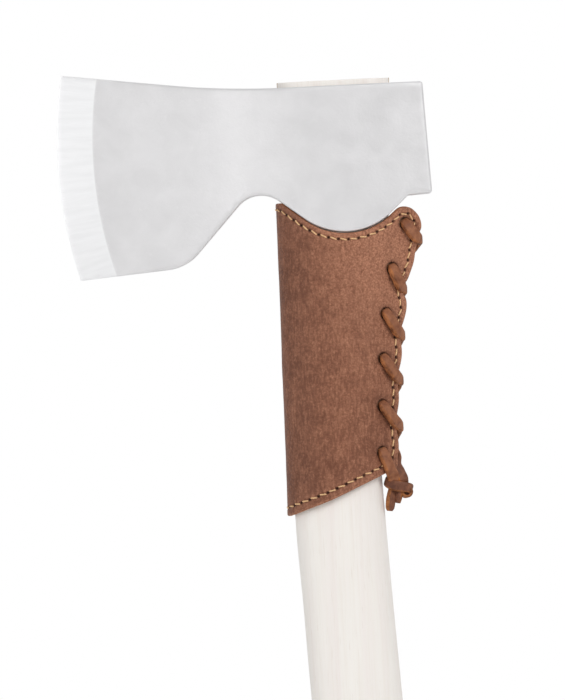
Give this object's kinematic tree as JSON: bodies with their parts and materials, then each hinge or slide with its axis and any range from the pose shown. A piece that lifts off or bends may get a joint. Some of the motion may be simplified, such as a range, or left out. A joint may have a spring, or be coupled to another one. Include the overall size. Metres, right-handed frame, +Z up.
{
  "type": "hatchet",
  "caption": "Hatchet with a wedged forged head on a curved wooden haft, and a stitched leather guard laced round the haft below the head to take missed strokes.",
  "frame": {"origin": "centre of the hand grip, inside the haft, halfway between the haft's front and back there", "axes": "+Z up along the eye's axis with the head at the top, -X towards the cutting edge, +X towards the poll, Y through the head's thickness"},
  "size_m": [0.1564, 0.032, 0.4985],
  "materials": {
    "forged_steel": "satin, forged and tumbled, with a brighter ground bevel",
    "haft_wood": "pale straight-grained hardwood, oiled matte",
    "wedge_wood": "darker hardwood, sanded",
    "ring_steel": "plain turned steel",
    "guard_leather": "oiled pull-up leather, fine grain, scuffed",
    "lining_leather": "split leather, flesh side",
    "lace_leather": "cut thong, smooth grain side and raw edges",
    "thread": "waxed twisted thread"
  },
  "bodies": {
    "root": {"axe_head": "forged_steel", "haft": "haft_wood", "eye_wedge": "wedge_wood", "ring_wedge": "ring_steel", "guard_outer": "guard_leather", "guard_lining": "lining_leather", "seam_top": "thread", "seam_bottom": "thread", "seam_back_near": "thread", "seam_back_far": "thread", "lace": "lace_leather", "lace_knot": "lace_leather"}
  },
  "joints": []
}
